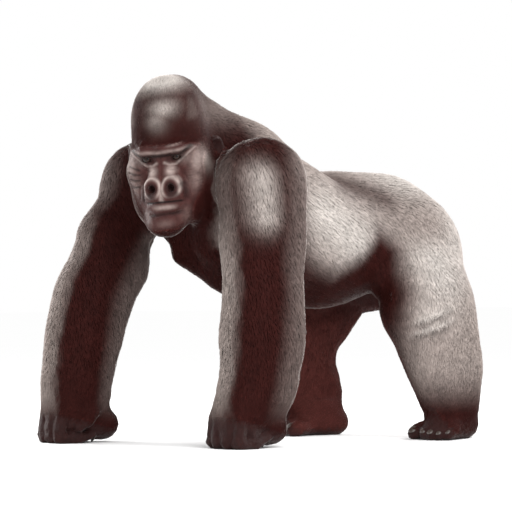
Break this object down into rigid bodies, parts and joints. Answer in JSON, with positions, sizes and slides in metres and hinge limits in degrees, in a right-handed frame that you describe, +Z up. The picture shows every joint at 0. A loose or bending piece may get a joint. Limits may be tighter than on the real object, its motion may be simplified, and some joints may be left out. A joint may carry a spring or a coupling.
{
  "type": "gorilla",
  "caption": "Life-size adult male gorilla with a high crest and a silver back, standing on its feet and knuckles with its head turned to its left.",
  "frame": {"origin": "on the floor, under the middle of the animal's bounding box", "axes": "+Z up, the animal's body points along -Y, its left side is +X"},
  "size_m": [0.7568, 1.2822, 1.1028],
  "materials": {
    "dark_coat": "short dark brown hair with a soft sheen",
    "silver_coat": "short silver-grey hair",
    "bare_skin": "bare dark skin, slightly shiny",
    "eye": "wet dark brown"
  },
  "bodies": {
    "root": {"head": "dark_coat", "ear_left": "bare_skin", "ear_right": "bare_skin", "eye_left": "eye", "eye_right": "eye", "neck": "dark_coat", "chest": "silver_coat", "belly": "silver_coat", "rump": "silver_coat", "upper_arm_left": "dark_coat", "upper_arm_right": "dark_coat", "forearm_left": "dark_coat", "forearm_right": "dark_coat", "hand_left": "bare_skin", "hand_right": "bare_skin", "thigh_left": "silver_coat", "thigh_right": "silver_coat", "shin_left": "dark_coat", "shin_right": "dark_coat", "foot_left": "bare_skin", "foot_right": "bare_skin"}
  },
  "joints": []
}
